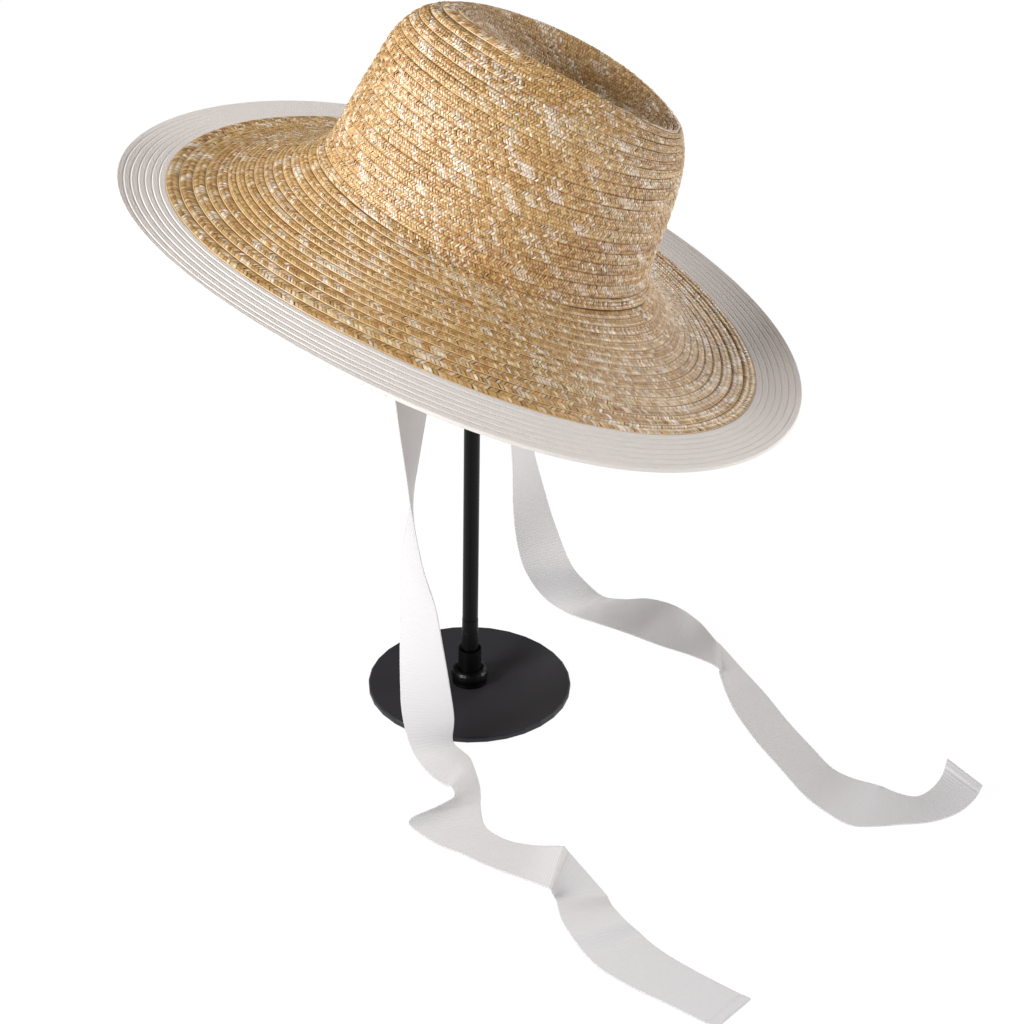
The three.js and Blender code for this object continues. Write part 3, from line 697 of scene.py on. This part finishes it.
# Both edges of the ribbon where it is sewn to the crown's inside.
def tieRow(angle, place):
    def onWall(a):
        inset = np.array([-ribbon["inset"]])
        return toWorld(lifted(crownOut, np.array([a]), np.array([top - place]), inset))[0]

    step = 0.002
    half = step
    while np.linalg.norm(onWall(angle - half) - onWall(angle + half)) < ribbon["width"]:
        half += step
    return (*onWall(angle - half), *onWall(angle + half))


def ribbonPiece(name, node, tieAngle, fallTable, lieTable):
    rows = [tieRow(np.radians(tieAngle), place) for place in ribbon["tiePlaces"]]
    for x, y, z, turn in fallTable:
        dx = 0.5 * ribbon["width"] * np.cos(np.radians(turn))
        dy = 0.5 * ribbon["width"] * np.sin(np.radians(turn))
        rows.append((x + dx, y + dy, z, x - dx, y - dy, z))
    rows = np.array(rows + list(lieTable), float)
    places = np.linspace(0, len(rows) - 1, 1200)
    read = readTable(rows, places).T
    lengths = lengthsAlong(0.5 * (read[:, :3] + read[:, 3:]))
    length = lengths[-1]
    # Stations stand close together at the hem.
    hemStart = length - ribbon["hemLength"]
    stations = np.linspace(0, hemStart, ribbon["stations"])
    hemStations = np.linspace(hemStart + 0.5, length, ribbon["hemStations"])
    stations = np.concatenate((stations, hemStations))
    read = readTable(rows, np.interp(stations, lengths, places)).T
    a, b = read[:, None, :3], read[:, None, 3:]
    mix = np.array(ribbon["across"])[None, :, None]
    middles = a * (1 - mix) + b * mix
    normals = np.cross(np.gradient(middles, axis=0), b - a)
    normals /= np.linalg.norm(normals, axis=-1, keepdims=True)
    thickness = np.interp(length - stations, *ribbon["hem"])
    half = 0.5 * thickness[:, None, None] * normals
    points = np.concatenate((middles + half, (middles - half)[:, ::-1], (middles + half)[:, :1]), 1)
    caps = np.concatenate((middles, middles[:, ::-1], middles[:, :1]), 1)
    points = np.concatenate((caps[:1], points, caps[-1:]))
    rowPlaces = np.concatenate(((0,), stations, stations[-1:])) / length
    piece = gridPiece(name, points, ribbonMaterial, rowPlaces)
    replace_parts(piece, node)
    print("made", name, round(length), "mm long")
    return piece


ribBump(ribbonMaterial, ribbon["ribs"], ribbon["ribHeight"])
ribbonPiece("near_ribbon", "ribbon_near", 241, nearFall, nearLie)
ribbonPiece("far_ribbon", "ribbon_far", 80, farFall, farLie)

# The stand keeps its solids and is painted black: its base, and all the rest of it. The base's
# paint is made lighter, a painted reflection of the bright surroundings on its flat top.
paint = {
    "base": ("black satin paint with painted reflection", (36, 35, 39), 0.5, 0.3),
    "rest": ("black satin paint", (3, 3, 3), 0.36, 0.15),
}
paints = {
    part: newMaterial(name, colour, roughness, **{"Specular IOR Level": specular})
    for part, (name, colour, roughness, specular) in paint.items()
}
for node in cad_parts.values():
    if node.name.startswith("stand"):
        part = "base" if "base" in node.name else "rest"
        node.material_slots[0].material = paints[part]
print("painted the stand")

# A plain pale floor just under the stand, in metres. It has a glow of its own, which is a little
# less far out on the near side: the places on y and the glow there.
floorLook = {"size": 12, "drop": 0.0005, "near": (-2.6, 0.55), "far": (-0.4, 0.97)}
bpy.ops.object.select_all(action="DESELECT")
bpy.ops.mesh.primitive_plane_add(size=floorLook["size"], location=(0, 0, -floorLook["drop"]))
floor = bpy.context.object
floor.name = "floor"
floorMaterial = newMaterial(
    "pale floor", (60, 60, 60), 0.9, **{"Emission Color": (1, 1, 1, 1), "Specular IOR Level": 0.0}
)
floorNodes, floorLinks = floorMaterial.node_tree.nodes, floorMaterial.node_tree.links
floorPlace = floorNodes.new("ShaderNodeTexCoord")
floorParts = floorNodes.new("ShaderNodeSeparateXYZ")
floorGlow = floorNodes.new("ShaderNodeMapRange")
for end, (y, glow) in (("Min", floorLook["near"]), ("Max", floorLook["far"])):
    floorGlow.inputs["From " + end].default_value = y
    floorGlow.inputs["To " + end].default_value = glow
floorShader = floorNodes["Principled BSDF"]
floorLinks.new(floorPlace.outputs["Object"], floorParts.inputs["Vector"])
floorLinks.new(floorParts.outputs["Y"], floorGlow.inputs["Value"])
floorLinks.new(floorGlow.outputs["Result"], floorShader.inputs["Emission Strength"])
floor.data.materials.append(floorMaterial)
print("laid the floor")

# Round soft lights, by their compass turn and height in degrees, their distance from the hat
# and size in metres, and their power in watts.
lights = (
    ("key light", -140, 24, 2.4, 0.9, 71),
    ("top light", -180, 50, 2.2, 1.2, 18),
    ("right light", 8, 10, 2.4, 0.8, 29),
    ("low light", -38, -9, 1.0, 0.22, 1.6),
    ("back light", 62, 18, 2.4, 1.0, 12),
)
lightAim = (0.02, 0, 0.3)
worldGlow = 0.1

scene = bpy.context.scene
scene.view_settings.view_transform = "Standard"
world = bpy.data.worlds.new("studio")
world.use_nodes = True
world.node_tree.nodes["Background"].inputs["Color"].default_value = (1, 1, 1, 1)
world.node_tree.nodes["Background"].inputs["Strength"].default_value = worldGlow
scene.world = world

for name, turn, height, distance, size, power in lights:
    turn, height = np.radians(turn), np.radians(height)
    level = np.cos(height)
    away = np.array((level * np.cos(turn), level * np.sin(turn), np.sin(height)))
    bpy.ops.object.light_add(type="AREA", location=distance * away + lightAim)
    light = bpy.context.object
    light.name = name
    light.data.shape = "DISK"
    light.data.size = size
    light.data.energy = power
    light.rotation_euler = (0.5 * np.pi - height, 0, turn + 0.5 * np.pi)

# The camera fitted to the photograph. It looks down by the tilt and leans a little to the side.
view = {"place": (0.02394, -1.37415, 0.91501), "lens": 94.92, "tilt": 60.037, "lean": 1.059}
bpy.ops.object.camera_add(location=view["place"])
camera = bpy.context.object
camera.data.lens = view["lens"]
camera.data.sensor_width = 36
camera.data.clip_start = 0.05
camera.rotation_mode = "QUATERNION"
tilt, lean = np.radians(view["tilt"] / 2), np.radians(view["lean"] / 2)
camera.rotation_quaternion = (
    np.cos(tilt) * np.cos(lean),
    np.sin(tilt) * np.cos(lean),
    -np.sin(tilt) * np.sin(lean),
    np.cos(tilt) * np.sin(lean),
)
scene.camera = camera
print("placed the lights and the camera")
